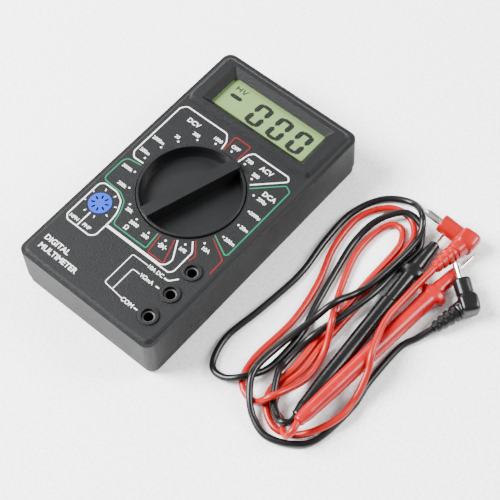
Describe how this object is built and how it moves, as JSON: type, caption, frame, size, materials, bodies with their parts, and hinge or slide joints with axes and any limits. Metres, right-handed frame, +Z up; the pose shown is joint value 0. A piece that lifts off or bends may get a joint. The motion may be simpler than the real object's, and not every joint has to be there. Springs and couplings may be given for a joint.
{
  "type": "digital multimeter",
  "caption": "Dark pocket digital multimeter with a display, range dial and sockets, and its black and red test leads.",
  "frame": {"origin": "on the table under the dial axis, the middle of the case's footprint", "axes": "+X to the right of the printed face, +Y towards the display, +Z up out of the face"},
  "size_m": [0.1504, 0.1279, 0.027],
  "materials": {
    "case_plastic": "fine spark-eroded texture",
    "dial_plastic": "satin, finely textured",
    "blue_plastic": "satin",
    "light_plastic": "satin",
    "clear_window": "polished clear",
    "display_glass": "green-grey reflective display",
    "elastomer": "striped elastomer",
    "board_laminate": "solder mask",
    "gold_plate": "plated",
    "plated_steel": "nickel plated",
    "zinc_steel": "zinc plated",
    "socket_metal": "dull nickel",
    "resin_black": "potting resin",
    "film_green": "dipped",
    "resistor_body": "lacquered",
    "battery_jacket": "printed steel jacket",
    "black_cord_jacket": "soft satin vinyl",
    "red_cord_jacket": "soft satin vinyl",
    "black_handle": "satin moulding",
    "red_handle": "satin moulding"
  },
  "bodies": {
    "meter": {"front_shell": "case_plastic", "rear_cover": "case_plastic", "case_screws": "zinc_steel", "display_window": "clear_window", "display_glass": "display_glass", "display_frame": "light_plastic", "display_connector": "elastomer", "circuit_board": "board_laminate", "switch_tracks": "gold_plate", "board_screws": "zinc_steel", "socket_10a": "socket_metal", "socket_volt_ohm": "socket_metal", "socket_common": "socket_metal", "transistor_socket": "blue_plastic", "transistor_contacts": "gold_plate", "meter_chip": "resin_black", "trimmer": "light_plastic", "trimmer_rotor": "gold_plate", "electrolytic_capacitor": "resin_black", "film_capacitors": "film_green", "resistors": "resistor_body", "diodes": "resin_black", "component_leads": "zinc_steel", "shunt_wire": "gold_plate", "fuse_tube": "clear_window", "fuse_caps": "plated_steel", "fuse_wire": "zinc_steel", "fuse_clips": "plated_steel", "battery": "battery_jacket", "battery_terminals": "plated_steel", "battery_snap": "resin_black", "battery_wire_red": "red_cord_jacket", "battery_wire_black": "black_cord_jacket"},
    "dial": {"range_dial": "dial_plastic", "dial_wipers": "gold_plate", "detent_balls": "plated_steel", "detent_springs": "zinc_steel"},
    "test_leads": {"black_cord": "black_cord_jacket", "black_plug": "black_cord_jacket", "black_plug_pin": "plated_steel", "black_strain_relief": "black_cord_jacket", "black_probe": "black_handle", "black_probe_needle": "plated_steel", "red_cord": "red_cord_jacket", "red_plug": "red_cord_jacket", "red_plug_pin": "plated_steel", "red_strain_relief": "red_cord_jacket", "red_probe": "red_handle", "red_probe_needle": "plated_steel"}
  },
  "joints": [
    {"name": "dial_turn", "type": "hinge", "parent": "meter", "child": "dial", "pos_m": [0, 0, 0.02], "axis": [0, 0, 1], "continuous": true},
    {"name": "leads_lift", "type": "slide", "parent": "meter", "child": "test_leads", "axis": [0, 0, 1], "range_m": [0, 0.12]}
  ]
}
